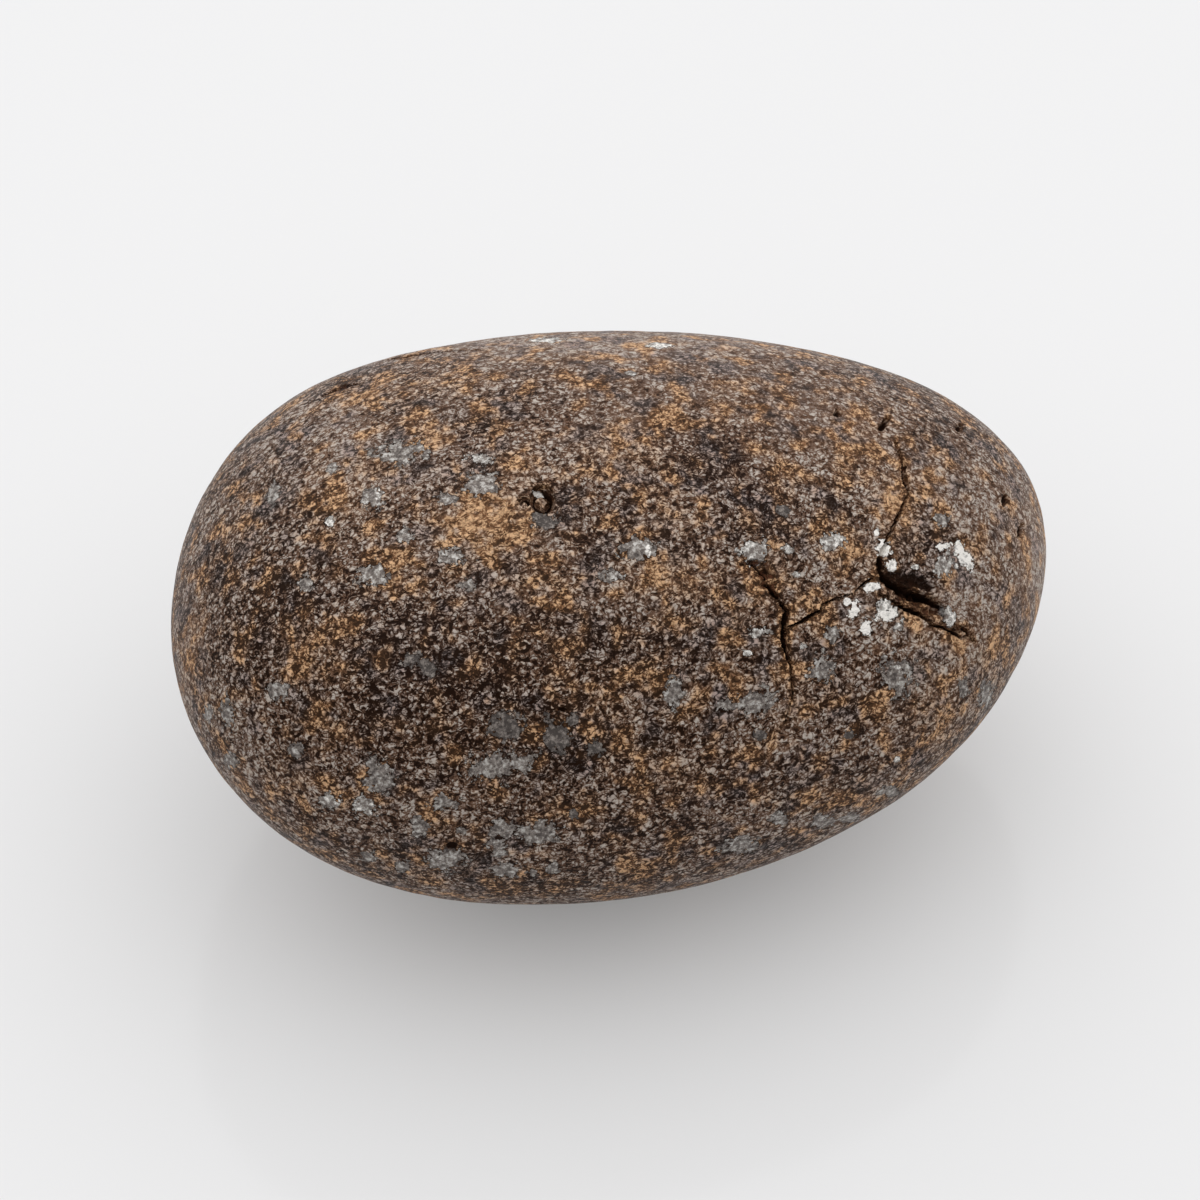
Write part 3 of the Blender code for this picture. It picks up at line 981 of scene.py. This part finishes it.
def stone_material(finish):
    """Brown chondrite: fine grains, rust and slate patches, grey metal flecks and dark cracks."""
    material = bpy.data.materials.new("worn_chondrite")
    material.use_nodes = True
    tree = material.node_tree
    shader = tree.nodes["Principled BSDF"]
    place = add_node(tree, "ShaderNodeTexCoord").outputs["Object"]
    crack = attribute(tree, "crack")
    tone, grain = grain_tone(tree, place, finish.grain_size)
    colour = grain_colour(tree, place, tone, grain, finish)
    colour, fleck, mottle = with_flecks(tree, place, colour, finish)
    colour = with_cracks(tree, place, colour, crack, finish)
    tree.links.new(colour, shader.inputs["Base Color"])

    solid = maths(tree, "SUBTRACT", 1.0, crack, clamp=True)
    metallic = maths(tree, "MULTIPLY", maths(tree, "MULTIPLY", fleck, solid), METAL_SHARE)
    tree.links.new(metallic, shader.inputs["Metallic"])
    rough = maths(tree, "MULTIPLY_ADD", grain["Green"], 0.2, finish.roughness - 0.1)
    rough = maths(tree, "MULTIPLY_ADD", crack, 0.4, rough, clamp=True)
    tree.links.new(rough, shader.inputs["Roughness"])
    shader.inputs["Coat Weight"].default_value = finish.polish
    shader.inputs["Coat Roughness"].default_value = 0.32
    shader.inputs["Specular IOR Level"].default_value = 0.05

    plate = maths(tree, "MULTIPLY", fleck, maths(tree, "MULTIPLY_ADD", mottle, 0.5, 0.8))
    height = maths(tree, "MAXIMUM", tone, plate)
    bump = add_node(
        tree, "ShaderNodeBump", {"Height": height, "Strength": 1.0, "Distance": finish.grain_relief},
    )
    tree.links.new(bump.outputs["Normal"], shader.inputs["Normal"])
    return material


def floor_material(settings):
    """Pale, slightly glossy table top that gives off a little light."""
    material = bpy.data.materials.new("pale_table")
    material.use_nodes = True
    shader = material.node_tree.nodes["Principled BSDF"]
    shader.inputs["Base Color"].default_value = (*settings.floor_colour, 1.0)
    shader.inputs["Roughness"].default_value = settings.floor_roughness
    shader.inputs["Specular IOR Level"].default_value = settings.floor_shine
    shader.inputs["Emission Color"].default_value = (1.0, 1.0, 1.0, 1.0)
    shader.inputs["Emission Strength"].default_value = settings.floor_glow
    return material


def deselect_all():
    if bpy.context.object and bpy.context.object.mode != "OBJECT":
        bpy.ops.object.mode_set(mode="OBJECT")
    bpy.ops.object.select_all(action="DESELECT")


class METEORITE_OT_stone(Operator):
    """Make the worn stone with its cracks, pits, flecks and colour patches"""
    bl_idname = "meteorite.stone"
    bl_label = "Make Stone"

    def execute(self, context):
        shape = context.scene.meteorite_shape
        eye_distance = context.scene.meteorite_stage.eye_distance
        deselect_all()
        bpy.ops.mesh.primitive_ico_sphere_add(subdivisions=shape.subdivisions, radius=1)
        stone = context.object
        stone.name = "worn_stone"
        stone.data.name = "worn_stone"
        for crack_margin, fleck_margin in REFINE_MARGINS:
            refine(stone, shape, eye_distance, crack_margin, fleck_margin)

        directions = unit(coordinates(stone.data))
        points = stone_points(directions, shape)
        normals = skin_normals(points, shape)
        places, to_eye = sketch_places(points, eye_distance)
        facing = (normals * to_eye).sum(axis=1) > 0
        depth, crack, lining = mark_depths(points, places, facing)
        draw = random.Random(SEED)
        fleck, fleck_bright = fleck_values(points, places, normals, facing, draw)
        overlaid = (fleck > 0) & (fleck_bright > OVERLYING_FLECK)
        crack = np.where(overlaid, crack * OVERLAID_CRACK, crack)
        rust = patch_values(points, places, normals, facing, RUST_PATCHES, draw)
        slate = patch_values(points, places, normals, facing, SLATE_PATCHES, draw)
        # Tone stretches, partly the stone's own tone and partly painted sheen, painted rim highlights and
        # painted shade.
        shade = skin_stretches(points, places, facing, TONE_AND_PAINTED_LIGHT_PATCHES)
        # The "worn" attribute holds the painted sheen.
        worn = skin_stretches(points, places, facing, PAINTED_SHEEN_PATCHES)
        relief = layered_waves(points, ((*RIPPLE_WAVE, shape.ripple), (*GRIT_WAVE, shape.grit)))
        low = np.clip(points[:, 2] / RELIEF_START, 0, 1)
        points += normals * ((relief * low) - depth)[:, None]
        stone.data.vertices.foreach_set("co", points.ravel())
        stone.data.update()
        shade = shade + slate * SLATE_SHADE + rust * RUST_SHADE + lining * LINING_SHADE
        write_attribute(stone.data, "crack", crack)
        write_attribute(stone.data, "shade", shade)
        write_attribute(stone.data, "rust", np.maximum(rust * PATCH_RUST, lining))
        write_attribute(stone.data, "slate", slate)
        write_attribute(stone.data, "worn", np.clip(worn, 0, MOST_PAINTED_SHEEN))
        write_attribute(stone.data, "fleck", fleck)
        write_attribute(stone.data, "fleck_bright", fleck_bright)

        bpy.ops.object.mode_set(mode="EDIT")
        bpy.ops.mesh.select_all(action="SELECT")
        bpy.ops.mesh.bisect(plane_co=(0, 0, 0), plane_no=(0, 0, -1), use_fill=True, clear_outer=True)
        bpy.ops.object.mode_set(mode="OBJECT")
        bpy.ops.object.shade_smooth_by_angle(angle=math.radians(60))
        stone.data.materials.append(stone_material(context.scene.meteorite_finish))
        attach(stone, "root")
        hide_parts(CAD_NODE)
        return {"FINISHED"}


def aim(thing, target):
    thing.rotation_euler = (target - thing.location).to_track_quat("-Z", "Y").to_euler()


def soft_room(settings):
    """A dim room with one very wide soft light that fades out towards the camera's side."""
    world = bpy.data.worlds.new("soft_room")
    world.use_nodes = True
    tree = world.node_tree
    view = add_node(tree, "ShaderNodeTexCoord").outputs["Generated"]
    lean = add_node(
        tree, "ShaderNodeVectorMath",
        {0: view, 1: direction_of(settings.light_heading, settings.light_rise)}, operation="DOT_PRODUCT",
    ).outputs["Value"]
    strength = smooth_step(tree, lean, *LIGHT_EDGE, settings.room_strength, settings.light_strength)
    tree.links.new(strength, tree.nodes["Background"].inputs["Strength"])
    tree.nodes["Background"].inputs["Color"].default_value = (1.0, 1.0, 1.0, 1.0)
    return world


class METEORITE_OT_stage(Operator):
    """Make the pale table, the soft light and the camera"""
    bl_idname = "meteorite.stage"
    bl_label = "Make Stage"

    def execute(self, context):
        settings = context.scene.meteorite_stage
        deselect_all()
        bpy.ops.mesh.primitive_plane_add(size=settings.floor_size)
        floor = context.object
        floor.name = "table_top"
        floor.data.materials.append(floor_material(settings))

        middle = Vector(SKETCH_MIDDLE) * MM
        _, _, towards = sketch_axes()
        context.scene.world = soft_room(settings)
        context.scene.view_settings.view_transform = "Standard"

        deselect_all()
        bpy.ops.object.camera_add(location=middle + towards * settings.eye_distance)
        camera = context.object
        camera.name = "photo_camera"
        aim(camera, middle)
        camera.data.sensor_width = SENSOR_WIDTH
        focal_px = PX_PER_MM * settings.eye_distance / MM
        camera.data.lens = camera.data.sensor_width * focal_px / (2 * PHOTO_MIDDLE_PX)
        camera.data.clip_start = 0.01
        context.scene.camera = camera
        return {"FINISHED"}


class METEORITE_PT_panel(Panel):
    bl_label = "Meteorite"
    bl_space_type = "VIEW_3D"
    bl_region_type = "UI"
    bl_category = "Meteorite"

    def draw(self, context):
        scene = context.scene
        for settings in (scene.meteorite_shape, scene.meteorite_finish, scene.meteorite_stage):
            box = self.layout.box()
            for name in settings.__annotations__:
                box.prop(settings, name)
        self.layout.operator(METEORITE_OT_stone.bl_idname)
        self.layout.operator(METEORITE_OT_stage.bl_idname)


SETTINGS = {
    "meteorite_shape": StoneShape,
    "meteorite_finish": StoneFinish,
    "meteorite_stage": StageSettings,
}
CLASSES = (*SETTINGS.values(), METEORITE_OT_stone, METEORITE_OT_stage, METEORITE_PT_panel)


def register():
    for item in CLASSES:
        bpy.utils.register_class(item)
    for name, kind in SETTINGS.items():
        setattr(bpy.types.Scene, name, PointerProperty(type=kind))


def unregister():
    for name in SETTINGS:
        delattr(bpy.types.Scene, name)
    for item in reversed(CLASSES):
        bpy.utils.unregister_class(item)


def main():
    register()
    bpy.ops.meteorite.stage()
    bpy.ops.meteorite.stone()


if __name__ == "__main__":
    main()
